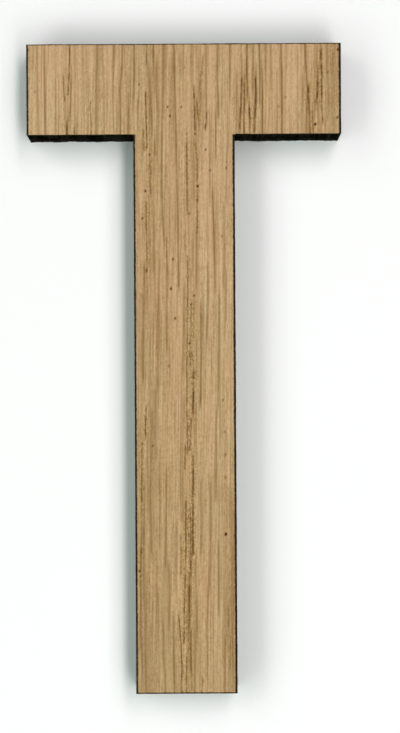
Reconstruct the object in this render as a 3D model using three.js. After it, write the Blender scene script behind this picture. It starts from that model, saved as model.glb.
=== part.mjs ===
// Laser-cut wooden letter T, lying on its back: a fibreboard core with an oak veneer leaf glued to each face.
// Millimetres, +Z up. X runs along the bar, Y up the stem, and Z out of the face.
// The origin is the middle of the back face's outline, so the letter rests on Z = 0.
import * as THREE from "three";

// Outline of the letter
const LETTER_HEIGHT = 100;
const LETTER_WIDTH = 48.4;
const BAR_DEPTH = 13.9;
const STEM_WIDTH = 15.6;
const INSIDE_CORNER_RADIUS = 0.2; // left by the width of the laser's cut
const CORNER_STEPS = 6;

// Thickness of each layer of the board
const BACK_VENEER_THICKNESS = 0.6;
const FACE_VENEER_THICKNESS = 0.6;
const CORE_THICKNESS = 4.6;
const GLUE_FILM_THICKNESS = 0.1;

const backOak = new THREE.MeshStandardMaterial({ color: 0xa98a60, roughness: 0.75, metalness: 0 });
const faceOak = new THREE.MeshStandardMaterial({ color: 0xb49569, roughness: 0.65, metalness: 0 });
const charredFibreboard = new THREE.MeshStandardMaterial({ color: 0x1a1510, roughness: 0.9, metalness: 0 });
const charredGlue = new THREE.MeshStandardMaterial({ color: 0x100c08, roughness: 0.6, metalness: 0 });

// The layers of the board, from the back to the face
const LAYERS = [
  { name: "back_veneer", thickness: BACK_VENEER_THICKNESS, material: backOak },
  { name: "back_glue_film", thickness: GLUE_FILM_THICKNESS, material: charredGlue },
  { name: "fibreboard_core", thickness: CORE_THICKNESS, material: charredFibreboard },
  { name: "face_glue_film", thickness: GLUE_FILM_THICKNESS, material: charredGlue },
  { name: "face_veneer", thickness: FACE_VENEER_THICKNESS, material: faceOak },
];

// One cut goes through the whole board, so every layer has this outline.
function letterOutline() {
  const top = LETTER_HEIGHT / 2;
  const foot = -LETTER_HEIGHT / 2;
  const armUnderside = top - BAR_DEPTH;
  const armEnd = LETTER_WIDTH / 2;
  const stemSide = STEM_WIDTH / 2;
  const cornerX = stemSide + INSIDE_CORNER_RADIUS;
  const cornerY = armUnderside - INSIDE_CORNER_RADIUS;

  const outline = new THREE.Shape();
  outline.moveTo(-stemSide, foot);
  outline.lineTo(stemSide, foot);
  outline.lineTo(stemSide, cornerY);
  outline.absarc(cornerX, cornerY, INSIDE_CORNER_RADIUS, Math.PI, Math.PI / 2, true);
  outline.lineTo(armEnd, armUnderside);
  outline.lineTo(armEnd, top);
  outline.lineTo(-armEnd, top);
  outline.lineTo(-armEnd, armUnderside);
  outline.lineTo(-cornerX, armUnderside);
  outline.absarc(-cornerX, cornerY, INSIDE_CORNER_RADIUS, Math.PI / 2, 0, true);
  outline.closePath();
  return outline;
}

// A layer is the outline raised to the layer's thickness, lying on what is below it.
function makeLayer(outline, layer, height) {
  const geometry = new THREE.ExtrudeGeometry(outline, {
    depth: layer.thickness,
    bevelEnabled: false,
    curveSegments: CORNER_STEPS,
  });
  const mesh = new THREE.Mesh(geometry, layer.material);
  mesh.name = layer.name;
  mesh.position.z = height;
  return mesh;
}

function makeLetter() {
  const letter = new THREE.Group();
  const outline = letterOutline();
  let height = 0;
  for (const layer of LAYERS) {
    letter.add(makeLayer(outline, layer, height));
    height += layer.thickness;
  }
  return letter;
}

export default makeLetter();
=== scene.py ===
"""Dresses a laser-cut wooden letter T, lying on a white table.

Its pieces are two oak leaves, two glue lines and a charred fibreboard core.
"""

import math

import bmesh
import bpy
import numpy as np
from mathutils import Color, Matrix, Vector, noise


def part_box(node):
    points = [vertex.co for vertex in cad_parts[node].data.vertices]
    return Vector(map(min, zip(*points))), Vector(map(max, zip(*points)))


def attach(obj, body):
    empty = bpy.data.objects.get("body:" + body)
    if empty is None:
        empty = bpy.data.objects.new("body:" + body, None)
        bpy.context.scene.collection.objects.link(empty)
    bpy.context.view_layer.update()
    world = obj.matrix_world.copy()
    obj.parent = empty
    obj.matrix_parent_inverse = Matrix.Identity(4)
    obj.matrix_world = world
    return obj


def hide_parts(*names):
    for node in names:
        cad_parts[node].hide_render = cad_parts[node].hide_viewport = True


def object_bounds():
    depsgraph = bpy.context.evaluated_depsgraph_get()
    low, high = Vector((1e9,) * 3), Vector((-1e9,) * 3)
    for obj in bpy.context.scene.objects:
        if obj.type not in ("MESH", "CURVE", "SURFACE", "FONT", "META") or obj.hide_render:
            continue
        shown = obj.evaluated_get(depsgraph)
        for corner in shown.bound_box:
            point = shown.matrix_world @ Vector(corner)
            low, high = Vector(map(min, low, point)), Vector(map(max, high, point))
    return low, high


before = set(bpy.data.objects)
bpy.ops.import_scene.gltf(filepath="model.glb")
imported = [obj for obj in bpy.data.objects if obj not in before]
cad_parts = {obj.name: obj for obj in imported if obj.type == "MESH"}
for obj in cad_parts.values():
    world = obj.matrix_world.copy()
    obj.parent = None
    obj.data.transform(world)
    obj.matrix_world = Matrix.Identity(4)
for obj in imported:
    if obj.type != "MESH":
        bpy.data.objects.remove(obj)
CAD_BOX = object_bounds()

bl_info = {
    "name": "Wooden Letter",
    "version": (1, 0, 0),
    "blender": (4, 5, 0),
    "location": "View3D > Sidebar > Letter",
    "description": "Dresses a laser-cut oak letter with its grain, glue lines and charred edges",
    "category": "Object",
}

MM = 0.001
BODY = "root"
TINY = 0.01 * MM  # places closer together than this are one place
CUT_SEED = 7  # the cut wanders the same way in every run
CORNER_STEPS = 5
ARRIS_STEPS = 2
SMOOTH_ANGLE = math.radians(50)  # edges flatter than this are shaded smooth
GRAIN_LEAN = -0.012  # how far the fine grain runs sideways for each mm up the stem

# Table: half its side, its drop below the letter, and how far off, in mm, it turns plain white.
TABLE_HALF_SIDE = 3.0
TABLE_DROP = 0.02 * MM
TABLE_FADE = (80.0, 200.0)

# Painted shade on the table, a darker grey close round the letter that deepens its shadow: its reach and
# shift in mm, and the share of the bar that it follows.
PAINTED_SHADE_REACH = 6.0
PAINTED_SHADE_SHIFT = (-1.0, -0.7, 0.0)
PAINTED_SHADE_BAR_SHARE = 0.8

# Lamps: name, place, width, length, power in watts, colour.
LAMPS = (
    ("key_lamp", (0.14, 0.0, 0.45), 0.085, 1.07, 1.63, (1.0, 0.95, 0.97)),
    ("side_lamp", (0.25, 0.0, 0.42), 0.18, 1.07, 0.88, (1.0, 0.95, 0.97)),
    ("fill_lamp", (-0.4, 0.0, 0.38), 0.26, 1.07, 1.93, (0.91, 0.99, 0.94)),
    ("front_lamp", (0.0, -0.37, 0.42), 0.7, 0.28, 0.68, (0.78, 1.0, 0.88)),
)
SKY_LIGHT = 0.03

# Camera over the face.
PICTURE_LONG_SIDE = 733  # pixels
FACE_PER_PIXEL = 0.1538 * MM
CAMERA_HEIGHT = 0.222  # above the face
CAMERA_PLACE = (0.00223, -0.0085)
CAMERA_TURN = -0.0055  # radians
CAMERA_SHIFT = 0.0782  # of the picture's long side
CAMERA_CLIP = 0.01


def outline_sizes():
    """Width, height, stem width and bar depth of the letter, read from the CAD face leaf, in metres."""
    low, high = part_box("face_veneer")
    corners = [vertex.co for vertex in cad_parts["face_veneer"].data.vertices]
    stem_half = max(corner.x for corner in corners if corner.y < low.y + TINY)
    arm_under = min(corner.y for corner in corners if corner.x > high.x - TINY)
    return high.x - low.x, high.y - low.y, 2 * stem_half, high.y - arm_under


LETTER_WIDTH, LETTER_HEIGHT, STEM_WIDTH, BAR_DEPTH = outline_sizes()

# Grain of the face leaf, as read down the board: places are (x, y) in mm from the middle of the letter.

# Year lines are the long soft lines of late wood: darkness, half width, then places from the top down.
YEAR_LINES = (
    (0.5, 0.16, (-22.55, 50), (-22.5, 43), (-22.4, 36)),
    (0.62, 0.17, (-21.4, 50), (-21.35, 44), (-21.25, 36)),
    (0.22, 0.15, (-19.7, 50), (-19.7, 43), (-19.65, 37)),
    (0.35, 0.13, (-16.65, 49), (-16.65, 43), (-16.8, 40), (-16.85, 36)),
    (0.55, 0.24, (-13.25, 50), (-13.4, 46), (-13.5, 42), (-13.5, 36)),
    (0.28, 0.14, (-12.35, 50), (-12.3, 36)),
    (0.3, 0.13, (-11.75, 50), (-11.7, 40)),
    (0.3, 0.18, (-15.5, 50), (-15.5, 40)),
    (0.55, 0.15, (-10.65, 50), (-10.75, 46.5), (-10.9, 44), (-10.85, 37)),
    (0.7, 0.18, (-9.35, 50), (-9.45, 46.5), (-9.75, 43), (-9.72, 36)),
    (0.58, 0.17, (-8.5, 42), (-8.6, 36)),
    (0.35, 0.15, (-8.45, 45), (-8.5, 42)),
    (0.75, 0.16, (-7.55, 50), (-7.6, 46), (-7.7, 42)),
    (0.45, 0.13, (-17.25, 44), (-17.45, 37)),
    (0.45, 0.3, (-5.6, 47), (-5.3, 44), (-5.1, 41), (-5.0, 38)),
    (0.55, 0.15, (-4.1, 47), (-4.2, 43), (-4.0, 40)),
    (0.6, 0.22, (-3.05, 50), (-3.05, 46), (-3.15, 43), (-3.3, 39.5)),
    (0.75, 0.17, (-1.45, 50), (-1.4, 45), (-1.3, 40), (-1.15, 30), (-1.0, 21), (-0.95, 13)),
    (0.66, 0.17, (-3.4, 39), (-3.45, 33), (-3.4, 26), (-3.2, 20)),
    (0.52, 0.16, (3.5, 50), (3.45, 44), (3.5, 38)),
    (0.75, 0.16, (5.25, 50), (5.2, 45), (5.3, 42), (5.25, 39)),
    (0.7, 0.16, (7.15, 50), (7.15, 46), (7.1, 42)),
    (0.68, 0.13, (4.9, 39), (4.85, 33)),
    (0.8, 0.16, (9.75, 50), (9.75, 46), (9.8, 42)),
    (0.55, 0.14, (8.15, 45), (8.1, 37)),
    (0.45, 0.14, (13.4, 50), (13.4, 44)),
    (0.3, 0.14, (14.35, 45), (14.3, 36)),
    (0.65, 0.16, (10.75, 50), (10.65, 43)),
    (0.8, 0.14, (11.65, 50), (11.75, 46), (11.7, 41)),
    (0.32, 0.13, (12.65, 50), (12.65, 45.5)),
    (0.85, 0.15, (12.05, 46), (12.1, 42), (12.1, 36)),
    (0.76, 0.19, (15.05, 50), (15.1, 45), (15.1, 36)),
    (0.5, 0.14, (17.6, 48), (17.55, 41), (17.5, 36)),
    (0.5, 0.14, (18.35, 45), (18.3, 41)),
    (0.7, 0.2, (18.95, 41.5), (18.9, 36)),
    (0.8, 0.18, (18.7, 50), (18.8, 47), (19.0, 44), (19.2, 41)),
    (0.46, 0.16, (22.1, 50), (22.15, 45), (22.3, 41)),
    (0.15, 0.15, (22.85, 50), (22.8, 37)),
    (0.4, 0.16, (4.0, 37), (3.95, 26)),
    (0.26, 0.14, (6.5, 34), (6.45, 26)),
    (0.55, 0.14, (1.5, 35), (1.45, 26)),
    (0.73, 0.16, (4.4, 27), (4.5, 20), (4.65, 12.5)),
    (0.42, 0.15, (6.1, 24.5), (6.15, 19), (6.0, 13)),
    (0.4, 0.15, (6.4, 14.5), (6.3, 8)),
    (0.55, 0.16, (3.5, 15.5), (3.55, 10), (3.4, 5)),
    (0.3, 0.35, (1.8, 22), (1.75, 13)),
    (0.45, 0.18, (-4.7, 23.5), (-4.75, 15.5)),
    (0.66, 0.18, (-6.2, 15.5), (-6.4, 5), (-6.5, -1.5)),
    (0.5, 0.18, (-3.9, 16.5), (-4.05, 10), (-4.2, 0), (-4.15, -5)),
    (0.65, 0.15, (-2.7, 16), (-2.75, 8), (-2.85, 3.3)),
    (0.4, 0.22, (-0.1, 12.5), (-0.2, 7), (-0.3, -0.5)),
    (0.78, 0.17, (2.45, 9.5), (2.45, 5), (2.4, 0), (2.3, -5)),
    (0.44, 0.18, (5.3, 10.5), (5.2, 3), (5.0, -5.5)),
    (0.3, 0.15, (2.95, 4), (2.9, -4)),
    (0.32, 0.25, (-0.3, -4.5), (-0.45, -9), (-0.7, -16), (-0.6, -23)),
    (0.55, 0.17, (4.8, -6.5), (4.7, -13), (4.6, -19.8)),
    (0.6, 0.2, (-5.1, -7), (-5.3, -13), (-5.45, -21), (-5.3, -28)),
    (0.55, 0.16, (-3.0, -15.5), (-3.0, -22), (-3.2, -30)),
    (0.35, 0.17, (-1.5, -24.5), (-1.55, -33.5)),
    (0.54, 0.18, (3.8, -18), (3.75, -25), (3.6, -33.5)),
    (0.58, 0.15, (3.3, -34.5), (3.2, -40), (3.2, -48.5)),
    (0.72, 0.15, (5.0, -27.5), (5.0, -37)),
    (0.35, 0.35, (6.95, -19), (7.1, -28), (7.1, -50)),
    (0.56, 0.18, (5.9, -42), (5.85, -50)),
    (0.5, 0.22, (-6.6, -25), (-6.4, -38), (-6.3, -50)),
    (0.55, 0.2, (-2.7, -30.5), (-2.65, -36), (-2.7, -39.5)),
    (0.65, 0.17, (-2.0, -38.5), (-1.95, -44), (-1.9, -50)),
    (0.55, 0.16, (-3.6, -39.5), (-3.4, -46), (-3.3, -50)),
    (0.5, 0.16, (1.5, -29.5), (1.5, -35), (1.6, -40.5)),
    (0.8, 0.26, (0.5, -32), (0.45, -36), (0.4, -40)),
    (0.55, 0.22, (0.5, -40), (0.6, -46)),
    (0.55, 0.18, (-7.0, -28), (-7.0, -38), (-6.9, -46)),
    (0.3, 0.4, (-4.6, -4), (-4.5, -13)),
    (0.45, 0.15, (1.6, -6.5), (1.6, -13)),
    (0.4, 0.2, (1.2, -40), (1.2, -50)),
    (0.62, 0.2, (8.95, 45), (8.85, 41.5), (8.65, 38), (8.6, 36)),
    (0.55, 0.16, (9.35, 44.5), (9.3, 40), (9.3, 36)),
    (0.72, 0.22, (11.1, 45.3), (11.05, 41), (10.85, 37)),
    (0.6, 0.15, (10.1, 40.5), (10.15, 36)),
    (0.55, 0.25, (19.2, 43), (19.35, 39), (19.4, 36)),
    (0.55, 0.18, (20.65, 46), (20.5, 42), (20.35, 40.5)),
    (0.6, 0.17, (21.15, 49.3), (21.25, 45)),
    (0.55, 0.14, (19.8, 39.3), (19.85, 36)),
)

# Pore runs are chains of open vessels: darkness, half width, then places from the top down.
PORE_RUNS = (
    (0.85, 0.1, (-17.5, 50), (-17.55, 47), (-17.65, 45), (-17.8, 42.5)),
    (0.9, 0.1, (-18.5, 45), (-18.45, 43), (-18.35, 41.5)),
    (0.45, 0.11, (-17.4, 41.5), (-17.5, 39.5), (-17.9, 38)),
    (0.95, 0.13, (-18.0, 38), (-18.0, 36)),
    (0.6, 0.1, (-14.3, 41), (-14.4, 40), (-14.3, 39), (-14.25, 36)),
    (0.8, 0.09, (-16.85, 37.2), (-16.85, 36)),
    (0.65, 0.09, (-7.05, 41.7), (-7.1, 40.2)),
    (0.4, 0.09, (-7.1, 40.5), (-7.05, 37)),
    (0.75, 0.09, (-5.65, 50), (-5.7, 47)),
    (0.75, 0.09, (-4.65, 50), (-4.6, 47)),
    (0.85, 0.1, (-5.85, 42.3), (-5.8, 39), (-5.7, 34)),
    (0.45, 0.1, (-4.9, 40), (-4.9, 36)),
    (0.6, 0.1, (-6.2, 36.6), (-6.2, 33.6)),
    (0.5, 0.1, (-4.5, 35), (-4.5, 33)),
    (0.2, 0.09, (1.3, 49.5), (1.3, 46), (1.3, 43.5)),
    (0.85, 0.12, (1.55, 43.2), (1.65, 40.5), (1.7, 38), (1.7, 36.8)),
    (0.65, 0.11, (2.0, 41.2), (2.1, 39.7), (2.35, 37.4)),
    (0.75, 0.12, (2.95, 47.8), (2.85, 45.4)),
    (0.45, 0.14, (2.7, 45.2), (2.6, 43), (2.75, 40.5)),
    (0.98, 0.11, (3.5, 39.2), (3.5, 38), (3.3, 37)),
    (0.55, 0.11, (8.85, 49.7), (8.9, 47.8)),
    (0.35, 0.1, (8.95, 47.5), (9.0, 45)),
    (0.82, 0.13, (8.95, 44.5), (8.85, 41.5), (8.65, 39), (8.6, 37)),
    (0.72, 0.12, (9.35, 43.8), (9.3, 40.5), (9.25, 37.5), (9.3, 36)),
    (0.55, 0.09, (9.75, 48), (9.75, 45), (9.8, 42.5)),
    (0.98, 0.12, (10.1, 40), (10.15, 37)),
    (0.92, 0.16, (11.05, 44.8), (11.1, 43), (11.05, 41), (10.9, 39), (10.8, 36.5)),
    (0.4, 0.09, (11.25, 46.4), (11.2, 45)),
    (0.45, 0.09, (12.65, 47.4), (12.6, 46.2)),
    (0.95, 0.14, (19.15, 43.4), (19.1, 42.0)),
    (0.6, 0.18, (19.15, 42), (19.3, 40), (19.4, 38.5), (19.4, 36)),
    (0.95, 0.09, (19.8, 39), (19.85, 36.5)),
    (0.5, 0.12, (20.65, 46), (20.65, 43.6)),
    (0.98, 0.16, (20.65, 43.9), (20.5, 41.6), (20.35, 40.9)),
    (0.98, 0.14, (21.15, 48.9), (21.15, 47), (21.25, 45.0)),
    (0.85, 0.11, (21.25, 45), (21.2, 40.5), (21.4, 38)),
    (0.35, 0.14, (20.5, 49.3), (20.4, 46.8)),
    (0.65, 0.11, (0.45, 35.2), (0.42, 30), (0.45, 24)),
    (0.55, 0.11, (1.7, 34.8), (2.05, 32), (2.0, 29)),
    (0.62, 0.1, (2.05, 28.2), (2.0, 21)),
    (0.62, 0.11, (-5.2, 31.7), (-5.1, 30), (-5.3, 29), (-5.15, 26.8)),
    (0.85, 0.11, (-5.85, 25.4), (-5.85, 24.2)),
    (0.6, 0.1, (-5.85, 24), (-5.8, 15)),
    (0.4, 0.09, (-5.3, 19.7), (-5.4, 16)),
    (0.6, 0.09, (-2.8, 20), (-2.75, 17)),
    (0.35, 0.1, (0.0, 20.6), (0.05, 18.4)),
    (0.65, 0.1, (0.5, 17.2), (0.45, 12), (0.4, 8), (0.35, 3)),
    (0.55, 0.09, (1.0, 10.2), (0.95, 8), (0.9, 5)),
    (0.45, 0.09, (1.4, 11), (1.35, 8.5), (1.35, 5)),
    (0.35, 0.09, (1.8, 4.2), (1.75, 1.5), (1.75, -1)),
    (0.5, 0.1, (0.75, 4.4), (0.75, 2), (0.85, 0.6)),
    (0.6, 0.1, (1.1, 2.4), (1.15, 1.2), (1.3, -0.6)),
    (0.92, 0.14, (1.25, -0.8), (1.2, -5.5), (1.15, -7.3)),
    (0.65, 0.1, (0.3, 2.4), (0.2, -5), (0.25, -9)),
    (0.65, 0.12, (0.85, -7.5), (0.85, -10.5)),
    (0.75, 0.12, (0.75, -11), (0.65, -12.3)),
    (0.65, 0.11, (0.3, -9), (0.3, -13)),
    (0.7, 0.09, (-0.1, -12), (-0.15, -15.3)),
    (0.9, 0.09, (-6.05, -6), (-6.2, -10.5)),
    (0.8, 0.09, (-6.75, -12), (-6.8, -16), (-6.8, -20.2)),
    (0.4, 0.1, (-6.8, -21), (-6.85, -27)),
    (0.7, 0.12, (-6.9, -27.5), (-7.1, -31.8)),
    (0.45, 0.11, (-7.1, -32), (-7.1, -43)),
    (0.76, 0.12, (1.15, -13.5), (1.15, -15.2)),
    (0.95, 0.12, (1.15, -15.4), (1.1, -20), (1.05, -28.5)),
    (0.8, 0.11, (0.7, -21.5), (0.7, -26), (0.7, -31.6)),
    (0.3, 0.1, (0.35, -21.5), (0.4, -26), (0.5, -30)),
    (0.85, 0.1, (0.05, -20.5), (-0.05, -24), (-0.05, -28.5)),
    (0.5, 0.1, (-0.85, -25.8), (-0.7, -28.3), (-0.85, -31.5)),
    (0.8, 0.1, (-0.1, -28.8), (-0.15, -32), (-0.3, -35), (-0.4, -42)),
    (0.8, 0.12, (0.6, -31.8), (0.45, -34), (0.4, -38)),
    (0.2, 0.12, (0.6, -33), (0.5, -40)),
    (0.66, 0.1, (0.7, -40.3), (0.65, -45), (0.75, -49)),
    (0.4, 0.12, (0.35, -38), (0.35, -43.5)),
    (0.82, 0.09, (-1.2, -38), (-1.05, -40), (-0.85, -42), (-0.75, -46), (-0.8, -50)),
    (0.6, 0.1, (-0.05, -44.5), (-0.05, -47), (-0.1, -50)),
    (0.5, 0.09, (6.5, -37), (6.5, -39.6)),
    (0.6, 0.09, (6.7, -41.5), (6.65, -46)),
    (0.15, 0.09, (-6.8, -46), (-6.75, -49)),
    (0.3, 0.09, (2.3, -25.8), (2.3, -28.3)),
    (0.6, 0.09, (2.4, -47.8), (2.35, -50)),
)

# Pin marks are single round spots: darkness, radius, place.
PIN_MARKS = (
    (1.0, 0.22, (6.1, -25.5)),
    (0.92, 0.18, (2.05, 28.0)),
    (0.6, 0.15, (2.0, 25.8)),
    (0.55, 0.16, (2.0, 21.7)),
    (0.55, 0.16, (3.35, 33.8)),
    (0.5, 0.17, (-5.3, 32.8)),
    (0.75, 0.15, (-5.95, 27.4)),
    (0.6, 0.16, (-6.5, 23.0)),
    (0.55, 0.16, (0.75, 23.9)),
    (0.75, 0.16, (-2.1, 12.35)),
    (0.6, 0.16, (-1.75, 16.8)),
    (0.65, 0.17, (-1.5, 7.7)),
    (0.6, 0.16, (-5.85, 15.0)),
    (0.5, 0.17, (6.1, -13.2)),
    (0.35, 0.17, (6.1, -16.6)),
    (0.55, 0.16, (-6.7, -11.5)),
    (0.45, 0.16, (-5.0, -11.8)),
    (0.4, 0.16, (-6.5, -18.4)),
    (0.4, 0.16, (-2.5, 0.4)),
    (0.5, 0.15, (5.8, -5.0)),
    (0.35, 0.15, (6.05, -9.7)),
    (0.5, 0.15, (6.5, 30.8)),
    (0.5, 0.17, (4.0, 30.6)),
    (0.35, 0.17, (5.8, 20.3)),
    (0.7, 0.18, (-7.2, -31.2)),
    (0.35, 0.16, (0.0, -44.8)),
    (0.95, 0.18, (20.2, 37.4)),
    (0.6, 0.18, (23.65, 38.4)),
    (0.95, 0.18, (23.75, 49.0)),
    (0.35, 0.17, (23.0, 48.4)),
    (0.45, 0.16, (22.2, 45.4)),
    (0.3, 0.2, (-22.8, 42.6)),
    (0.35, 0.17, (15.65, 41.7)),
    (0.3, 0.2, (14.6, 40.3)),
    (0.5, 0.16, (-0.35, 40.2)),
    (0.65, 0.18, (-2.15, 38.9)),
    (0.6, 0.15, (-2.5, 40.1)),
    (0.6, 0.16, (1.7, 36.0)),
    (0.4, 0.15, (0.45, 36.2)),
    (0.45, 0.15, (-6.85, 43.6)),
    (0.6, 0.15, (1.45, 11.35)),
    (0.6, 0.15, (0.95, 9.85)),
    (0.62, 0.17, (0.75, 4.0)),
    (0.5, 0.15, (0.75, 2.2)),
    (0.5, 0.15, (0.8, 0.9)),
)

# Tone bands are paler (above 0) or darker (below 0) stretches: tone, half width, places from the top down.
TONE_BANDS = (
    (1.0, 2.6, (-21.0, 50), (-21.0, 36)),
    (0.35, 2.4, (-12.0, 50), (-12.0, 36)),
    (-0.15, 0.9, (-15.0, 50), (-15.0, 39)),
    (-0.35, 0.4, (-18.1, 50), (-18.1, 45)),
    (-0.5, 1.0, (-4.6, 50), (-4.9, 36), (-5.0, 20), (-5.0, 0), (-5.2, -30), (-5.6, -50)),
    (-0.6, 0.7, (1.9, 50), (1.9, 36), (1.8, 30), (1.9, 20)),
    (0.3, 1.5, (6.0, 50), (5.2, 36), (5.2, 0), (5.0, -30), (4.6, -50)),
    (-0.45, 0.5, (6.4, -34), (6.4, -50)),
    (-0.25, 1.2, (9.4, 47), (9.3, 36)),
    (-0.4, 0.6, (11.6, 50), (11.7, 36)),
    (0.55, 1.6, (16.9, 50), (16.9, 36)),
    (-0.7, 1.5, (21.3, 50), (20.6, 36)),
    (-0.8, 1.2, (23.4, 50), (23.4, 36)),
    (-0.4, 0.5, (20.3, 50), (20.3, 44)),
    (0.85, 0.9, (3.4, 36), (3.3, 22), (3.2, 10)),
    (0.5, 0.9, (3.4, 6), (3.4, -8)),
    (-0.4, 0.5, (0.4, 20), (0.4, 0), (0.2, -12)),
    (-0.6, 0.55, (1.1, -1), (0.95, -15), (0.8, -28), (0.4, -38), (0.5, -50)),
    (0.2, 1.0, (-2.0, 36), (-2.0, 10)),
    (-0.45, 1.6, (-6.0, 36), (-5.8, 4)),
    (-0.35, 0.6, (-4.7, 34), (-4.7, 27)),
    (-0.25, 0.8, (-3.8, -2), (-3.9, -40)),
    (-0.6, 0.8, (-7.0, -10), (-6.9, -30), (-6.7, -50)),
    (-0.4, 0.7, (7.2, -22), (7.1, -50)),
    (-0.45, 1.0, (6.4, -20), (6.4, -44)),
    (0.6, 0.3, (0.5, -13.5), (0.45, -21)),
    (0.6, 0.12, (11.35, 45), (11.35, 39)),
    (0.55, 0.2, (1.7, 46), (1.75, 43.4)),
    (0.5, 0.25, (-19.5, 43), (-19.5, 40.5)),
    (0.5, 0.18, (4.0, 50), (3.9, 38)),
    (0.6, 0.25, (18.0, 47.5), (18.0, 45.5)),
    (0.45, 0.3, (17.0, 49.5), (17.0, 47)),
    (0.4, 0.25, (-6.3, 33), (-6.4, 25)),
    (0.45, 0.12, (19.5, 48), (19.4, 44)),
    (0.4, 0.2, (1.75, -13), (1.7, -22)),
    (0.45, 0.12, (-6.5, -12), (-6.5, -17)),
    (0.4, 0.15, (5.4, -34), (5.4, -39)),
    (0.35, 0.2, (6.8, -4), (6.6, -12)),
    (0.45, 0.12, (-5.3, 50), (-5.2, 46.5)),
    (0.45, 0.1, (-7.1, -46), (-7.1, -48)),
    (0.4, 0.15, (0.7, 2.5), (0.75, -1)),
    (0.4, 2.0, (10.5, 48), (10.5, 38)),
    (0.3, 2.0, (13.5, 44), (13.5, 36)),
    (0.35, 1.5, (19.0, 47), (19.0, 36)),
    (-0.3, 1.8, (-1.4, 47), (-1.4, 36)),
    (-0.3, 1.5, (1.5, 48), (1.5, 38)),
    (-0.35, 1.3, (4.4, 46), (4.4, 39)),
    (0.35, 4.0, (3.5, 30), (3.5, 23)),
    (-0.3, 1.2, (-1.2, 36), (-1.2, 31)),
    (0.45, 1.2, (1.2, -21), (1.2, -27)),
    (0.3, 2.0, (5.4, -21), (5.4, -27)),
    (-0.45, 0.8, (1.6, 35), (1.9, 30), (2.0, 22)),
    (-0.45, 0.8, (-17.9, 46), (-17.9, 37)),
)

# Hue bands are pinker (above 0) or greener (below 0) stretches: hue, half width, places from the top down.
HUE_BANDS = (
    (1.0, 3.0, (-21.0, 50), (-21.0, 36)),
    (-0.7, 2.5, (-6.0, 50), (-5.5, 37)),
    (0.8, 2.6, (0.2, 50), (0.4, 22)),
    (0.9, 3.0, (16.0, 48), (16.0, 36)),
    (-0.8, 1.5, (23.0, 50), (23.0, 36)),
    (-1.0, 1.3, (-7.2, 36), (-7.2, -50)),
    (0.7, 1.3, (6.2, 36), (6.2, 20)),
    (0.9, 1.3, (-1.4, 10), (-1.4, -22)),
    (-0.8, 1.2, (-1.2, -26), (-1.2, -38)),
    (-1.0, 1.4, (6.4, -12), (6.6, -50)),
)

# How far the marks fade past their ends, in mm.
HUE_FADE = 4.0
TONE_FADE = 2.0
YEAR_FADE = 1.5
PORE_FADE = 0.4

# Year lines: spread in half widths, and the steady, slow and quick shares of their darkness.
YEAR_SPREAD = 1.05
YEAR_STEADY, YEAR_SLOW, YEAR_QUICK = 0.65, 0.3, 0.3

# Pore runs: where their ripple breaks them, how sharply, and the least darkness that is left there.
PORE_BREAK, PORE_SHARPNESS, PORE_LEAST = 0.1, 2.4, 0.3

# Changed wood beside a mark: strength, spread in half widths of the mark, fade past its ends in mm.
PALE_BY_YEAR_LINE = (0.25, 2.4, YEAR_FADE)
BROWN_BY_PORES = (0.48, 1.5, 0.8)
PALE_BY_PORES = (0.5, 3.0, 0.8)
SPECKS_BY_PORES = (1.0, 4.0, 1.2)

# Specks thin out from this height, in mm, over this length, to this share in the bar.
SPECKS_FROM, SPECKS_OVER, SPECKS_IN_BAR = 34.0, 4.0, 0.55

# First seed of each ripple, counted on by the mark's place in its list.
YEAR_SWAY_SEED, YEAR_SLOW_SEED, YEAR_QUICK_SEED = 0, 100, 150
PORE_SWAY_SEED, PORE_BREAK_SEED = 200, 300


def length_prop(name, description, default):
    """A length in the sidebar."""
    return bpy.props.FloatProperty(
        name=name, description=description, default=default, unit="LENGTH", precision=5
    )


def colour_prop(name, description, red, green, blue):
    """A colour in the sidebar, given as display levels from 0 to 255 and kept as linear light."""
    default = Color((red / 255, green / 255, blue / 255)).from_srgb_to_scene_linear()
    return bpy.props.FloatVectorProperty(
        name=name, description=description, default=tuple(default), subtype="COLOR", size=3, min=0.0, max=1.0
    )


class LetterSizes(bpy.types.PropertyGroup):
    """Sizes of the letter's outline, cut edge and face."""

    letter_width: length_prop("Letter width", "Length of the bar", LETTER_WIDTH)
    letter_height: length_prop("Letter height", "From the foot to the top of the bar", LETTER_HEIGHT)
    stem_width: length_prop("Stem width", "Width of the stem", STEM_WIDTH)
    bar_depth: length_prop("Bar depth", "Depth of the bar", BAR_DEPTH)
    corner_radius: length_prop("Inside corner", "Radius that the cut leaves there", 0.2 * MM)
    cut_waver: length_prop("Cut waver", "How far the laser's cut wanders", 0.02 * MM)
    back_waver: length_prop("Back waver", "How far the ragged lower edge of the back wanders", 0.07 * MM)
    arris: length_prop("Burnt arris", "Width burnt off the edge of each leaf", 0.04 * MM)
    pore_depth: length_prop("Pore depth", "Depth of the open pores in the face", 0.03 * MM)
    across_step: length_prop("Step across the grain", "Width of the face's mesh cells", 0.07 * MM)
    along_step: length_prop("Step along the grain", "Length of the face's mesh cells", 0.35 * MM)
    cut_step: length_prop("Step along the cut", "Length of the cut edge's mesh cells", 0.25 * MM)


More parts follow.
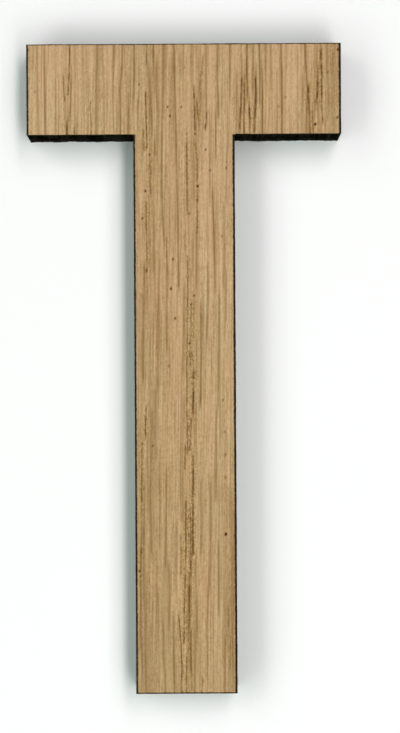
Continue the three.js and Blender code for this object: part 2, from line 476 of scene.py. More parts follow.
class LetterColours(bpy.types.PropertyGroup):
    """Colours of the oak, the scorched rim and the charred edge."""

    oak_deep: colour_prop("Deep oak", "Darkest plain oak", 147, 115, 72)
    oak_mid: colour_prop("Middle oak", "Plain oak", 184, 152, 109)
    oak_pale: colour_prop("Pale oak", "Palest plain oak", 210, 179, 137)
    pink_tint: colour_prop("Pink tint", "The pinker bands of the leaf", 199, 159, 120)
    olive_tint: colour_prop("Olive tint", "The greener bands of the leaf", 170, 146, 102)
    streak_tint: colour_prop("Streak tint", "Yellower wood round the pores", 176, 145, 91)
    year_line: colour_prop("Year line", "Late wood of a year line", 120, 86, 33)
    pore: colour_prop("Pore", "Open pores and pin marks", 86, 50, 2)
    scorch: colour_prop("Scorch", "Browned wood beside the cut", 96, 70, 48)
    char: colour_prop("Char", "Charred cut edge", 6, 8, 4)
    char_fibre: colour_prop("Charred fibre", "Greyer fibres in the charred core", 46, 42, 34)
    char_oak: colour_prop("Charred oak", "Browner wood in the leaves' burnt edges", 54, 39, 23)
    glue: colour_prop("Glue", "Charred glue line", 20, 15, 10)
    floor: colour_prop("Table", "White table under the letter", 254, 254, 254)
    # The table's painted shade: grey painted close round the letter to deepen its shadow.
    floor_painted_shade: colour_prop("Table close by", "Table close round the letter", 236, 240, 237)


def waver(verts, amount):
    """Pushes points sideways with the cut's wander, which is alike in every layer."""
    slow, quick = 500.0, 1700.0  # waves a metre
    noise.seed_set(CUT_SEED)
    for vertex in verts:
        flat = Vector((vertex.co.x, vertex.co.y, 0.0))
        push = (noise.noise_vector(flat * slow) + noise.noise_vector(flat * quick)) * amount
        vertex.co += Vector((push.x, push.y, 0.0))


def lift(bm, parts, height):
    """Moves the points among some parts of a mesh up, or down."""
    verts = [part for part in parts if isinstance(part, bmesh.types.BMVert)]
    bmesh.ops.translate(bm, verts=verts, vec=(0, 0, height))


def bevel(bm, parts, affect, offset, steps):
    """Rounds some corners or edges of a mesh."""
    bmesh.ops.bevel(
        bm,
        geom=parts,
        offset=offset,
        affect=affect,
        segments=steps,
        profile=0.5,
        material=-1,
        clamp_overlap=True,
    )


def outline_slab(sizes, low, high):
    """One layer of the board: the letter's outline with its wavering cut, raised from low to high."""
    stem = sizes.stem_width / 2
    wide = sizes.letter_width / 2
    tall = sizes.letter_height / 2
    under = tall - sizes.bar_depth
    right = [(stem, -tall), (stem, under), (wide, under), (wide, tall)]
    left = [(-x, y) for x, y in reversed(right)]
    bm = bmesh.new()
    corners = [bm.verts.new((x, y, low)) for x, y in right + left]
    bm.faces.new(corners)
    inside = [corner for corner in corners if abs(abs(corner.co.x) - stem) < TINY and corner.co.y > 0]
    bevel(bm, inside, "VERTICES", sizes.corner_radius, CORNER_STEPS)
    for edge in bm.edges[:]:
        cuts = int(edge.calc_length() / sizes.cut_step)
        if cuts:
            bmesh.ops.subdivide_edges(bm, edges=[edge], cuts=cuts)
    waver(bm.verts, sizes.cut_waver)
    raised = bmesh.ops.extrude_face_region(bm, geom=bm.faces[:])["geom"]
    lift(bm, raised, high - low)
    bmesh.ops.recalc_face_normals(bm, faces=bm.faces)
    return bm


def burn_arris(bm, sizes, height):
    """Takes the sharp edge off a leaf's outline at one height."""
    edges = [edge for edge in bm.edges if all(abs(vertex.co.z - height) < TINY for vertex in edge.verts)]
    upright = 0.5  # faces whose normals rise less than this stand upright
    rim = [edge for edge in edges if any(abs(face.normal.z) < upright for face in edge.link_faces)]
    bevel(bm, rim, "EDGES", sizes.arris, ARRIS_STEPS)


def face_grid(sizes, height):
    """The face of the letter as a fine grid of cells, narrow across the grain."""
    stem, wide = sizes.stem_width, sizes.letter_width
    arm = (wide - stem) / 2
    tall, bar = sizes.letter_height, sizes.bar_depth
    bar_middle = (tall - bar) / 2
    patches = (
        (stem, tall - bar, 0.0, -bar / 2),
        (stem, bar, 0.0, bar_middle),
        (arm, bar, -(stem + arm) / 2, bar_middle),
        (arm, bar, (stem + arm) / 2, bar_middle),
    )
    bm = bmesh.new()
    for width, depth, x, y in patches:
        place = Matrix.Translation((x, y, height)) @ Matrix.Diagonal((width, depth, 1.0, 1.0))
        bmesh.ops.create_grid(
            bm,
            x_segments=round(width / sizes.across_step),
            y_segments=round(depth / sizes.along_step),
            size=0.5,
            matrix=place,
        )
    bmesh.ops.remove_doubles(bm, verts=bm.verts, dist=TINY)
    return bm


def round_inside_corners(verts, sizes):
    """Eases the two inside corners of a gridded outline to the radius that the cut leaves."""
    radius = sizes.corner_radius
    under = sizes.letter_height / 2 - sizes.bar_depth

    def ease(distance):
        return radius - math.sqrt(max(radius**2 - (radius - distance) ** 2, 0.0))

    for vertex in verts:
        side = math.copysign(1.0, vertex.co.x)
        out = abs(vertex.co.x) - sizes.stem_width / 2
        down = under - vertex.co.y
        if abs(out) < TINY and abs(down) < TINY:
            corner = radius * (1 - math.sqrt(0.5))
            vertex.co += Vector((side * corner, -corner, 0.0))
        elif abs(down) < TINY and 0 < out < radius:
            vertex.co.y -= ease(out)
        elif abs(out) < TINY and 0 < down < radius:
            vertex.co.x += side * ease(down)


def gridded_leaf(sizes, low, high):
    """The face leaf: a fine gridded top over plain cut sides, closed underneath."""
    bm = face_grid(sizes, high)
    rim = [edge for edge in bm.edges if edge.is_boundary]
    rim_verts = list({vertex for edge in rim for vertex in edge.verts})
    round_inside_corners(rim_verts, sizes)
    waver(rim_verts, sizes.cut_waver)
    lowered = bmesh.ops.extrude_edge_only(bm, edges=rim)["geom"]
    lift(bm, lowered, low - high)
    foot_edges = [part for part in lowered if isinstance(part, bmesh.types.BMEdge)]
    bmesh.ops.contextual_create(bm, geom=foot_edges)
    bmesh.ops.recalc_face_normals(bm, faces=bm.faces)
    burn_arris(bm, sizes, high)
    return bm


def ripple(along, pitch, seed):
    """Smooth seeded noise from 0 to 1 along a line in mm, with a new height every pitch."""
    count, start = 512, -100.0
    heights = np.random.default_rng(seed).random(count)
    at = (along - start) / pitch
    step = np.floor(at).astype(int)
    part = at - step
    ease = part * part * (3 - 2 * part)
    return heights[step % count] * (1 - ease) + heights[(step + 1) % count] * ease


def sway(along, reach, pitch, seed):
    """How far a mark wanders sideways along a line, in mm."""
    return reach * (ripple(along, pitch, seed) - 0.5)


def stroke(x, y, places, half_width, fade):
    """How strongly a line drawn through places, from the top down, marks each point: 0 to 1."""
    line = np.array(places[::-1])
    centre = np.interp(y, line[:, 1], line[:, 0])
    across = np.exp(-(((x - centre) / half_width) ** 2))
    below_top = np.clip((line[-1, 1] + fade - y) / fade, 0, 1)
    above_end = np.clip((y - line[0, 1] + fade) / fade, 0, 1)
    return across * (below_top * above_end)


def beside(x, y, places, half_width, change):
    """How strongly the wood beside a mark is changed at each point."""
    strength, spread, fade = change
    return strength * stroke(x, y, places, spread * half_width, fade)


def broad_bands(x, y, bands, fade):
    """The sum of all the bands in a list at each point."""
    return sum(strength * stroke(x, y, places, half_width, fade) for strength, half_width, *places in bands)


def pin_marks(x, y):
    """The pin marks at each point, and the paler wood round them."""
    core, halo, halo_spread = 1.8, 0.8, 2.4
    pins = np.zeros_like(x)
    pale = np.zeros_like(x)
    for darkness, radius, (pin_x, pin_y) in PIN_MARKS:
        nearest = np.argmin(np.hypot(x - pin_x, y - pin_y))
        distance = np.hypot(x - x[nearest], y - y[nearest])
        pins = np.maximum(pins, core * darkness * np.exp(-((distance / radius) ** 2)))
        pale += halo * darkness * np.exp(-((distance / (halo_spread * radius)) ** 2))
    return pins, pale


def grain_marks(x, y):
    """The grain at each point of the face, for points in mm, as named marks."""
    hue = broad_bands(x, y, HUE_BANDS, HUE_FADE)
    tone = broad_bands(x, y, TONE_BANDS, TONE_FADE)
    years = np.zeros_like(x)
    pores = np.zeros_like(x)
    porous = np.zeros_like(x)
    for seed, (darkness, half_width, *places) in enumerate(YEAR_LINES):
        swayed = x + sway(y, reach=0.08, pitch=6.0, seed=YEAR_SWAY_SEED + seed)
        slow = ripple(y, pitch=5.0, seed=YEAR_SLOW_SEED + seed)
        quick = ripple(y, pitch=1.1, seed=YEAR_QUICK_SEED + seed)
        depth = darkness * (YEAR_STEADY + YEAR_SLOW * slow + YEAR_QUICK * quick)
        years = np.maximum(years, depth * stroke(swayed, y, places, YEAR_SPREAD * half_width, YEAR_FADE))
        tone += depth * beside(swayed, y, places, half_width, PALE_BY_YEAR_LINE)
    for seed, (darkness, half_width, *places) in enumerate(PORE_RUNS):
        swayed = x + sway(y, reach=0.06, pitch=2.0, seed=PORE_SWAY_SEED + seed)
        breaks = ripple(y, pitch=1.0, seed=PORE_BREAK_SEED + seed)
        depth = darkness * np.clip((breaks - PORE_BREAK) * PORE_SHARPNESS, PORE_LEAST, 1)
        pores = np.maximum(pores, depth * stroke(swayed, y, places, half_width, PORE_FADE))
        years = np.maximum(years, darkness * beside(swayed, y, places, half_width, BROWN_BY_PORES))
        tone += darkness * beside(swayed, y, places, half_width, PALE_BY_PORES)
        porous += darkness * beside(swayed, y, places, half_width, SPECKS_BY_PORES)
    porous *= np.clip(1 - (y - SPECKS_FROM) / SPECKS_OVER, SPECKS_IN_BAR, 1)
    pins, pale = pin_marks(x, y)
    tone += pale
    return {"year_line": years, "pore": pores, "porous": porous, "pin": pins, "tone": tone, "hue": hue}


def mark_grain(mesh, sizes, high):
    """Stores the grain's marks on the face leaf and sinks its open pores."""
    places = np.empty(3 * len(mesh.vertices))
    mesh.vertices.foreach_get("co", places)
    places = places.reshape(-1, 3)
    marks = grain_marks(places[:, 0] / MM, places[:, 1] / MM)
    top = places[:, 2] > high - TINY
    places[top, 2] -= sizes.pore_depth * np.clip(np.maximum(marks["pore"], marks["pin"]), 0, 1)[top]
    mesh.vertices.foreach_set("co", places.ravel())
    for name, values in marks.items():
        mesh.attributes.new(name, "FLOAT", "POINT").data.foreach_set("value", values)
    mesh.update()


class Finish:
    """A node material being put together. Places inside it are in millimetres."""

    def __init__(self, name):
        self.material = bpy.data.materials.new(name)
        self.material.use_nodes = True
        self.nodes = self.material.node_tree.nodes
        self.links = self.material.node_tree.links
        self.shader = self.nodes["Principled BSDF"]
        coordinates = self.nodes.new("ShaderNodeTexCoord")
        self.place = self.stretch(coordinates.outputs["Object"], (1 / MM, 1 / MM, 1 / MM))

    def put(self, socket, value):
        """Links a node's output to a socket, or sets a plain value there."""
        if isinstance(value, bpy.types.NodeSocket):
            self.links.new(value, socket)
        elif socket.type == "RGBA":
            socket.default_value = (*value, 1.0)
        else:
            socket.default_value = value

    def add(self, kind, values, **settings):
        """A new node with its settings made and its sockets linked or set, by name or number."""
        node = self.nodes.new(kind)
        for name, setting in settings.items():
            setattr(node, name, setting)
        for socket, value in values.items():
            self.put(node.inputs[socket], value)
        return node

    def stretch(self, vector, scale, shift=(0.0, 0.0, 0.0)):
        """A place scaled along each axis and then shifted."""
        values = {"Vector": vector, "Scale": scale, "Location": shift}
        return self.add("ShaderNodeMapping", values).outputs["Vector"]

    def axes(self, vector):
        """The x, y and z of a place."""
        return tuple(self.add("ShaderNodeSeparateXYZ", {"Vector": vector}).outputs)

    def together(self, x, y, z):
        """A place made of its x, y and z."""
        return self.add("ShaderNodeCombineXYZ", {"X": x, "Y": y, "Z": z}).outputs["Vector"]

    def math(self, operation, *values):
        """One sum, named as Blender's Math node names it."""
        return self.add("ShaderNodeMath", dict(enumerate(values)), operation=operation).outputs["Value"]

    def span(self, x, y):
        """The length of a flat step of x and y."""
        return self.math("SQRT", self.math("MULTIPLY_ADD", x, x, self.math("MULTIPLY", y, y)))

    def noise(self, vector, detail=2.0, roughness=0.5):
        """Soft noise from about 0 to 1, one wave to each step of the place given."""
        values = {"Vector": vector, "Scale": 1.0, "Detail": detail, "Roughness": roughness}
        return self.add("ShaderNodeTexNoise", values).outputs["Fac"]

    def grain_noise(self, grain, across, along, shift=(0.0, 0.0), detail=2.0, roughness=0.5):
        """Noise drawn out along the grain, with so many waves a mm across it and along it."""
        stretched = self.stretch(grain, (across, along, across), (*shift, 0.0))
        return self.noise(stretched, detail, roughness)

    def rise(self, value, low, high, start=0.0, end=1.0):
        """Goes smoothly from start to end as value goes from low to high."""
        values = {"Value": value, "From Min": low, "From Max": high, "To Min": start, "To Max": end}
        return self.add("ShaderNodeMapRange", values, interpolation_type="SMOOTHSTEP").outputs["Result"]

    def mix(self, factor, first, second):
        """The first colour, turned into the second as factor goes from 0 to 1."""
        node = self.add("ShaderNodeMix", {"Factor": factor}, data_type="RGBA")
        colours = [socket for socket in node.inputs if socket.type == "RGBA"]
        self.put(colours[0], first)
        self.put(colours[1], second)
        return next(socket for socket in node.outputs if socket.type == "RGBA")

    def ramp(self, value, *stops):
        """A colour ramp through (place, colour) stops."""
        node = self.add("ShaderNodeValToRGB", {"Fac": value})
        elements = node.color_ramp.elements
        while len(elements) < len(stops):
            elements.new(0.5)
        for element, (place, colour) in zip(elements, stops):
            element.position = place
            element.color = (*colour, 1.0)
        return node.outputs["Color"]

    def mark(self, name):
        """One of the piece's own stored marks."""
        return self.add("ShaderNodeAttribute", {}, attribute_name=name).outputs["Fac"]

    def bump(self, height, depth, below=None):
        """Relief that goes depth metres up as height goes from 0 to 1, laid on the relief below."""
        values = {"Height": height, "Distance": depth}
        if below:
            values["Normal"] = below
        return self.add("ShaderNodeBump", values).outputs["Normal"]

    def plus(self, base, *parts):
        """base plus each part times its weight."""
        for weight, value in parts:
            base = self.math("MULTIPLY_ADD", value, weight, base)
        return base

    def weighted(self, base, *parts):
        """base plus each part's distance from its middle value, 0.5, times its weight."""
        return self.plus(base, *((weight, self.math("SUBTRACT", value, 0.5)) for weight, value in parts))

    def wear(self, colour, roughness, normal, sheen):
        """Gives the shader its colour, roughness, relief and sheen."""
        self.put(self.shader.inputs["Base Color"], colour)
        self.put(self.shader.inputs["Roughness"], roughness)
        self.put(self.shader.inputs["Normal"], normal)
        self.shader.inputs["Specular IOR Level"].default_value = sheen
        return self.material


def cut_gap(finish, sizes, right=0.0, left=0.0, top=0.0, foot=0.0, under=0.0):
    """How far inside the cut a place on the face lies, in mm, plus how much the burn spares each side."""
    x, y, _ = finish.axes(finish.place)
    stem = sizes.stem_width / 2 / MM
    wide = sizes.letter_width / 2 / MM
    tall = sizes.letter_height / 2 / MM
    arm = tall - sizes.bar_depth / MM

    def nearest(first, *others):
        for other in others:
            first = finish.math("MINIMUM", first, other)
        return first

    to_top = finish.math("SUBTRACT", tall + top, y)
    to_foot = finish.math("ADD", y, tall + foot)
    to_under = finish.math("SUBTRACT", y, arm - under)
    to_stem = nearest(finish.math("SUBTRACT", stem + right, x), finish.math("ADD", x, stem + left))
    to_end = nearest(finish.math("SUBTRACT", wide + right, x), finish.math("ADD", x, wide + left))
    return finish.math("MAXIMUM", nearest(to_stem, to_foot, to_top), nearest(to_end, to_top, to_under))


def burnt_wood(finish, colours):
    """The charred edge of an oak leaf: black, with browner wood between the burn lines."""
    lines = finish.noise(finish.stretch(finish.place, (4.0, 4.0, 0.6)), 3.0, 0.65)
    return finish.ramp(lines, (0.4, colours.char), (0.7, colours.char_oak))


def oak_ground(finish, colours, grain, fibres, grit):
    """Plain oak between the marks, from deep to pale, in pinker and greener bands."""
    y = finish.axes(finish.place)[1]
    threads = finish.grain_noise(grain, 3.3, 0.06, detail=1.0, roughness=0.6)
    flecks = finish.grain_noise(grain, 3.6, 2.2, (5.9, 0.0), roughness=0.75)
    streaks = finish.grain_noise(grain, 1.7, 0.03, (7.3, 0.0))
    lightness = finish.weighted(0.52, (0.8, threads), (0.7, fibres), (0.8, flecks), (0.1, streaks))
    lightness = finish.plus(lightness, (0.18, finish.mark("tone")), (0.0007, y), (2.4, grit))
    oak = finish.ramp(lightness, (0.1, colours.oak_deep), (0.5, colours.oak_mid), (0.9, colours.oak_pale))
    tint = finish.grain_noise(grain, 0.55, 0.06, (11.7, 1.4))
    tint = finish.plus(tint, (0.0015, y), (0.13, finish.mark("hue")))
    oak = finish.mix(finish.rise(tint, 0.48, 0.72, 0.0, 0.38), oak, colours.pink_tint)
    return finish.mix(finish.rise(tint, 0.28, 0.52, 0.36, 0.0), oak, colours.olive_tint)


def porous_oak(finish, colours, oak, speckle, gritty, crowded):
    """Yellower and speckled wood round the runs of pores."""
    oak = finish.mix(finish.math("MULTIPLY", gritty, 0.4), oak, colours.streak_tint)
    pale_specks = finish.math("MULTIPLY", crowded, finish.rise(speckle, 0.52, 0.62, 0.0, 0.55))
    dark_specks = finish.math("MULTIPLY", crowded, finish.rise(speckle, 0.36, 0.46, 0.6, 0.0))
    oak = finish.mix(pale_specks, oak, colours.oak_pale)
    return finish.mix(dark_specks, oak, colours.year_line)


def lined_oak(finish, colours, grain, oak, crowded):
    """Hairlines, year lines and the short dashes of small pores."""
    hairs = finish.grain_noise(grain, 3.3, 0.07, (21.3, 0.0), detail=1.0, roughness=0.6)
    oak = finish.mix(finish.rise(hairs, 0.34, 0.45, 0.28, 0.0), oak, colours.year_line)
    oak = finish.mix(finish.mark("year_line"), oak, colours.year_line)
    dashes = finish.grain_noise(grain, 6.5, 0.9, (0.0, 4.7), roughness=0.6)
    dashes = finish.plus(dashes, (0.08, crowded))
    return finish.mix(finish.rise(dashes, 0.6, 0.72, 0.0, 0.5), oak, colours.year_line)


def face_oak(colours, sizes, height):
    """Fine-sanded oak with its year lines, pores and flecks, browned and charred along the cut."""
    finish = Finish("face_oak")
    x, y, z = finish.axes(finish.place)
    grain = finish.together(finish.plus(x, (GRAIN_LEAN, y)), y, z)
    fibres = finish.grain_noise(grain, 3.6, 0.3, (3.1, 0.0), roughness=0.65)
    speckle = finish.grain_noise(grain, 4.4, 3.3, (8.2, 3.3), detail=1.0, roughness=0.6)
    porous = finish.mark("porous")
    crowded = finish.rise(porous, 0.4, 1.5)
    gritty = finish.rise(porous, 0.0, 0.9)
    grit = finish.math("MULTIPLY", gritty, finish.math("SUBTRACT", speckle, 0.5))
    oak = oak_ground(finish, colours, grain, fibres, grit)
    oak = porous_oak(finish, colours, oak, speckle, gritty, crowded)
    oak = lined_oak(finish, colours, grain, oak, crowded)

    breaks = finish.grain_noise(grain, 3.5, 1.3, (2.0, 0.0), roughness=0.6)
    pins = finish.mark("pin")
    pores = finish.math("MULTIPLY", finish.mark("pore"), finish.rise(breaks, 0.34, 0.5, 0.42, 1.02))
    pores = finish.math("MINIMUM", finish.math("MAXIMUM", pores, pins), 1.0)
    oak = finish.mix(pores, oak, colours.pore)
    oak = finish.mix(finish.rise(pins, 1.2, 1.6, 0.0, 0.9), oak, colours.char)

    beads = finish.noise(finish.stretch(finish.place, (2.2, 2.2, 2.2)), 3.0, 0.6)
    gap = cut_gap(finish, sizes, right=-0.10, left=-0.06, top=0.09, foot=0.04, under=0.30)
    gap = finish.weighted(gap, (0.24, beads))
    oak = finish.mix(finish.rise(gap, 0.16, 0.36, 0.75, 0.0), oak, colours.scorch)
    cut_side = finish.rise(z, height - 0.2, height - 0.06, 1.0, 0.0)
    charred = finish.math("MAXIMUM", finish.rise(gap, 0.14, 0.28, 1.0, 0.0), cut_side)
    oak = finish.mix(charred, oak, burnt_wood(finish, colours))

    roughness = finish.weighted(0.62, (0.25, fibres))
    roughness = finish.plus(roughness, (0.25, finish.math("MAXIMUM", charred, pores)))
    relief = finish.bump(fibres, 0.006 * MM)
    relief = finish.bump(finish.math("MULTIPLY", pores, -1.0), 0.01 * MM, relief)
    return finish.wear(oak, roughness, relief, sheen=0.12)


def back_oak(colours, sizes):
    """The plainer balancing leaf, sanded coarser and stained by smoke along the cut."""
    finish = Finish("back_oak")
    x, y, z = finish.axes(finish.place)
    lean = finish.grain_noise(finish.place, 0.08, 0.03, detail=1.0)
    grain = finish.together(finish.weighted(x, (3.0, lean)), y, z)
    fibres = finish.grain_noise(grain, 4.0, 0.15, detail=3.0, roughness=0.6)
    bands = finish.grain_noise(grain, 0.9, 0.012, (5.0, 0.0))
    vessels = finish.grain_noise(grain, 5.5, 0.7, (0.0, 9.0), roughness=0.6)
    lightness = finish.weighted(0.42, (0.9, fibres), (1.2, bands))
    oak = finish.ramp(lightness, (0.15, colours.oak_deep), (0.5, colours.oak_mid), (0.85, colours.oak_pale))
    pores = finish.rise(vessels, 0.6, 0.7, 0.0, 0.7)
    oak = finish.mix(pores, oak, colours.pore)
    smoke = finish.noise(finish.stretch(finish.place, (0.5, 0.5, 0.5)), 3.0, 0.6)
    gap = cut_gap(finish, sizes)
    smoky_gap = finish.weighted(gap, (1.6, smoke))
    oak = finish.mix(finish.rise(smoky_gap, 0.0, 2.4, 0.75, 0.0), oak, colours.scorch)
    charred = finish.rise(gap, 0.08, 0.3, 1.0, 0.0)
    oak = finish.mix(charred, oak, burnt_wood(finish, colours))
    roughness = finish.weighted(0.72, (0.25, fibres))
    relief = finish.bump(finish.math("SUBTRACT", fibres, pores), 0.012 * MM)
    return finish.wear(oak, roughness, relief, sheen=0.12)


def charred_board(name, plain, fibre):
    """Charred cut edge: upright burn lines over a matt black ground."""
    finish = Finish(name)
    lines = finish.noise(finish.stretch(finish.place, (4.5, 4.5, 0.2)), 3.0, 0.65)
    ash = finish.noise(finish.stretch(finish.place, (7.0, 7.0, 5.0)), 3.0, 0.6)
    patch = finish.noise(finish.stretch(finish.place, (0.35, 0.35, 0.3)), 2.0)
    browned = finish.weighted(0.35, (1.5, lines), (1.0, ash), (1.0, patch))
    colour = finish.ramp(browned, (0.2, plain), (0.8, fibre))
    roughness = finish.weighted(0.85, (0.2, ash))
    relief = finish.bump(lines, 0.03 * MM)
    relief = finish.bump(ash, 0.012 * MM, relief)
    return finish.wear(colour, roughness, relief, sheen=0.0)


def keep_piece(name, bm, material, node):
    """Makes an object of a closed mesh, gives it its finish and puts it in the place of its CAD node."""
    if not all(edge.is_manifold for edge in bm.edges):
        raise RuntimeError(f"{name} isn't closed")
    mesh = bpy.data.meshes.new(name)
    bm.to_mesh(mesh)
    bm.free()
    mesh.shade_smooth()
    mesh.set_sharp_from_angle(angle=SMOOTH_ANGLE)
    mesh.materials.append(material)
    piece = bpy.data.objects.new(name, mesh)
    bpy.context.scene.collection.objects.link(piece)
    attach(piece, BODY)
    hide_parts(node)
    return piece


class LETTER_OT_face_leaf(bpy.types.Operator):
    """Make the oak leaf on the face, with its grain and open pores"""

    bl_idname = "letter.face_leaf"
    bl_label = "Face leaf"

    def execute(self, context):
        sizes = context.scene.letter_sizes
        low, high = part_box("face_veneer")
        leaf = gridded_leaf(sizes, low.z, high.z)
        finish = face_oak(context.scene.letter_colours, sizes, high.z / MM)
        piece = keep_piece("oak_face_leaf", leaf, finish, "face_veneer")
        mark_grain(piece.data, sizes, high.z)
        return {"FINISHED"}


class LETTER_OT_core(bpy.types.Operator):
    """Make the fibreboard core with its charred cut edge"""

    bl_idname = "letter.core"
    bl_label = "Fibreboard core"

    def execute(self, context):
        colours = context.scene.letter_colours
        low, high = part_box("fibreboard_core")
        core = outline_slab(context.scene.letter_sizes, low.z, high.z)
        finish = charred_board("charred_fibreboard", colours.char, colours.char_fibre)
        keep_piece("charred_core", core, finish, "fibreboard_core")
        return {"FINISHED"}


class LETTER_OT_glue_lines(bpy.types.Operator):
    """Make the two glue lines between the core and its leaves"""

    bl_idname = "letter.glue_lines"
    bl_label = "Glue lines"

    def execute(self, context):
        colours = context.scene.letter_colours
        finish = charred_board("charred_glue", colours.char, colours.glue)
        for side in ("face", "back"):
            low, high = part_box(f"{side}_glue_film")
            film = outline_slab(context.scene.letter_sizes, low.z, high.z)
            keep_piece(f"{side}_glue_line", film, finish, f"{side}_glue_film")
        return {"FINISHED"}


class LETTER_OT_back_leaf(bpy.types.Operator):
    """Make the balancing oak leaf on the back"""

    bl_idname = "letter.back_leaf"
    bl_label = "Back leaf"

    def execute(self, context):
        sizes = context.scene.letter_sizes
        low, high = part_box("back_veneer")
        leaf = outline_slab(sizes, low.z, high.z)
        waver([vertex for vertex in leaf.verts if vertex.co.z < low.z + TINY], sizes.back_waver)
        burn_arris(leaf, sizes, low.z)
        finish = back_oak(context.scene.letter_colours, sizes)
        keep_piece("oak_back_leaf", leaf, finish, "back_veneer")
        return {"FINISHED"}


def seen_rays(tree):
    """1 for rays that show the background: those of the camera and those in gloss or glass."""
    path = tree.nodes.new("ShaderNodeLightPath")
    total = path.outputs["Is Camera Ray"]
    for name in ("Is Glossy Ray", "Is Transmission Ray"):
        node = tree.nodes.new("ShaderNodeMath")
        node.operation = "MAXIMUM"
        tree.links.new(total, node.inputs[0])
        tree.links.new(path.outputs[name], node.inputs[1])
        total = node.outputs["Value"]
    return total


def lit_or_seen(tree, lit, seen, factor):
    """Sends a node tree's lit or seen shader to its output, as factor says."""
    either = tree.nodes.new("ShaderNodeMixShader")
    end = next(node for node in tree.nodes if node.type.startswith("OUTPUT"))
    for socket, value in zip(either.inputs, (factor, lit, seen)):
        tree.links.new(value, socket)
    tree.links.new(either.outputs["Shader"], end.inputs["Surface"])


def painted_shade_gap(finish, sizes):
    """How far a place on the table lies from the shifted stem and the middle of the bar, in mm, which places
    the painted shade.
    """
    x, y, _ = finish.axes(finish.stretch(finish.place, (1.0, 1.0, 1.0), PAINTED_SHADE_SHIFT))

    def beyond(value, half):
        past = finish.math("SUBTRACT", finish.math("ABSOLUTE", value), half / MM)
        return finish.math("MAXIMUM", past, 0.0)

    def to_block(width, depth, middle):
        along = finish.math("SUBTRACT", y, middle / MM)
        return finish.span(beyond(x, width / 2), beyond(along, depth / 2))

    tall, bar = sizes.letter_height, sizes.bar_depth
    to_stem = to_block(sizes.stem_width, tall, 0.0)
    to_bar = to_block(PAINTED_SHADE_BAR_SHARE * sizes.letter_width, bar, (tall - bar) / 2)
    return finish.math("MINIMUM", to_stem, to_bar)


def table_with_painted_shade(colours, sizes):
    """Matt white under the letter, which keeps its shadow, with painted shade greyer close round it, and
    plain white in the distance.
    """
    finish = Finish("table_with_painted_shade")
    x, y, _ = finish.axes(finish.place)
    # Painted shade: the table's colour turns darker grey close round the letter, deepening its shadow.
    close = finish.rise(painted_shade_gap(finish, sizes), 0.0, PAINTED_SHADE_REACH, 1.0, 0.0)
    far = finish.rise(finish.span(x, y), *TABLE_FADE)
    tree = finish.material.node_tree
    distant = finish.math("MULTIPLY", far, seen_rays(tree))
    finish.put(finish.shader.inputs["Base Color"], finish.mix(close, colours.floor, colours.floor_painted_shade))
    finish.shader.inputs["Roughness"].default_value = 0.9
    finish.shader.inputs["Specular IOR Level"].default_value = 0.0
    white = tree.nodes.new("ShaderNodeEmission")
    lit_or_seen(tree, finish.shader.outputs["BSDF"], white.outputs["Emission"], distant)
    return finish.material


def lay_table(scene):
    """Lays the table under the letter."""
    bm = bmesh.new()
    bmesh.ops.create_grid(bm, x_segments=1, y_segments=1, size=TABLE_HALF_SIDE)
    mesh = bpy.data.meshes.new("table_with_painted_shade")
    bm.to_mesh(mesh)
    bm.free()
    mesh.materials.append(table_with_painted_shade(scene.letter_colours, scene.letter_sizes))
    table = bpy.data.objects.new("table_with_painted_shade", mesh)
    table.location.z = CAD_BOX[0].z - TABLE_DROP
    scene.collection.objects.link(table)


def soft_lamp(name, place, width, length, power, colour):
    """A broad lamp that shines at the middle of the letter."""
    lamp = bpy.data.lights.new(name, "AREA")
    lamp.shape = "RECTANGLE"
    lamp.size = width
    lamp.size_y = length
    lamp.energy = power
    lamp.color = colour
    holder = bpy.data.objects.new(name, lamp)
    holder.location = place
    holder.rotation_euler = (math.atan2(-place[1], place[2]), math.atan2(place[0], place[2]), 0.0)
    bpy.context.scene.collection.objects.link(holder)


def soft_sky(strength):
    """Even light from all round, which the camera sees as white."""
    world = bpy.data.worlds.new("soft_sky")
    bpy.context.scene.world = world
    world.use_nodes = True
    tree = world.node_tree
    light = tree.nodes["Background"]
    light.inputs["Strength"].default_value = strength
    seen = tree.nodes.new("ShaderNodeBackground")
    for sky in (light, seen):
        sky.inputs["Color"].default_value = (1.0, 1.0, 1.0, 1.0)
    lit_or_seen(tree, light.outputs["Background"], seen.outputs["Background"], seen_rays(tree))


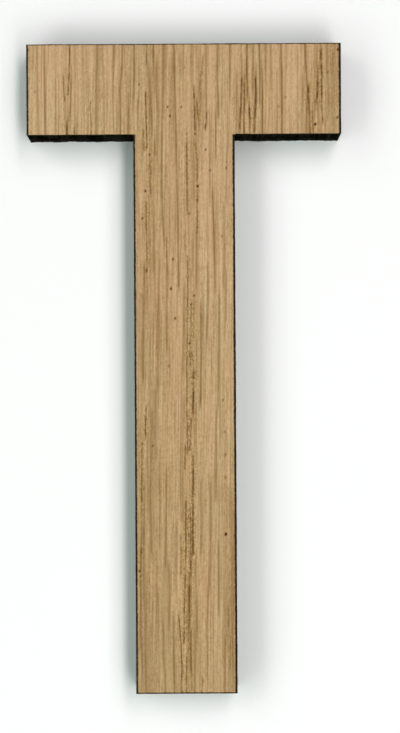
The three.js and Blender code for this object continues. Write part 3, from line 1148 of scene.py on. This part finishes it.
def overhead_camera(scene):
    """Hangs the camera over the letter, looking straight down."""
    camera = bpy.data.cameras.new("camera")
    camera.lens = camera.sensor_width * CAMERA_HEIGHT / (PICTURE_LONG_SIDE * FACE_PER_PIXEL)
    camera.shift_y = CAMERA_SHIFT
    camera.clip_start = CAMERA_CLIP
    holder = bpy.data.objects.new("camera", camera)
    holder.location = (*CAMERA_PLACE, CAD_BOX[1].z + CAMERA_HEIGHT)
    holder.rotation_euler = (0.0, 0.0, CAMERA_TURN)
    scene.collection.objects.link(holder)
    scene.camera = holder


class LETTER_OT_stage(bpy.types.Operator):
    """Lay the white table, hang the lamps and set up the camera"""

    bl_idname = "letter.stage"
    bl_label = "Stage"

    def execute(self, context):
        lay_table(context.scene)
        for lamp in LAMPS:
            soft_lamp(*lamp)
        soft_sky(SKY_LIGHT)
        overhead_camera(context.scene)
        context.scene.view_settings.view_transform = "Standard"
        return {"FINISHED"}


class LETTER_PT_pieces(bpy.types.Panel):
    """Lists the letter's pieces, sizes and colours"""

    bl_idname = "LETTER_PT_pieces"
    bl_label = "Wooden Letter"
    bl_space_type = "VIEW_3D"
    bl_region_type = "UI"
    bl_category = "Letter"

    def draw(self, context):
        for operator in OPERATORS:
            self.layout.operator(operator.bl_idname)
        for group in (context.scene.letter_sizes, context.scene.letter_colours):
            box = self.layout.box()
            for name in group.__annotations__:
                box.prop(group, name)


OPERATORS = (LETTER_OT_face_leaf, LETTER_OT_core, LETTER_OT_glue_lines, LETTER_OT_back_leaf, LETTER_OT_stage)
CLASSES = (LetterSizes, LetterColours, *OPERATORS, LETTER_PT_pieces)


def register():
    """Registers the classes and gives the scene its sizes and colours."""
    for cls in CLASSES:
        bpy.utils.register_class(cls)
    bpy.types.Scene.letter_sizes = bpy.props.PointerProperty(type=LetterSizes)
    bpy.types.Scene.letter_colours = bpy.props.PointerProperty(type=LetterColours)


def unregister():
    """Takes away what register added."""
    del bpy.types.Scene.letter_colours
    del bpy.types.Scene.letter_sizes
    for cls in reversed(CLASSES):
        bpy.utils.unregister_class(cls)


def main():
    register()
    bpy.ops.letter.face_leaf()
    bpy.ops.letter.core()
    bpy.ops.letter.glue_lines()
    bpy.ops.letter.back_leaf()
    bpy.ops.letter.stage()


if __name__ == "__main__":
    main()
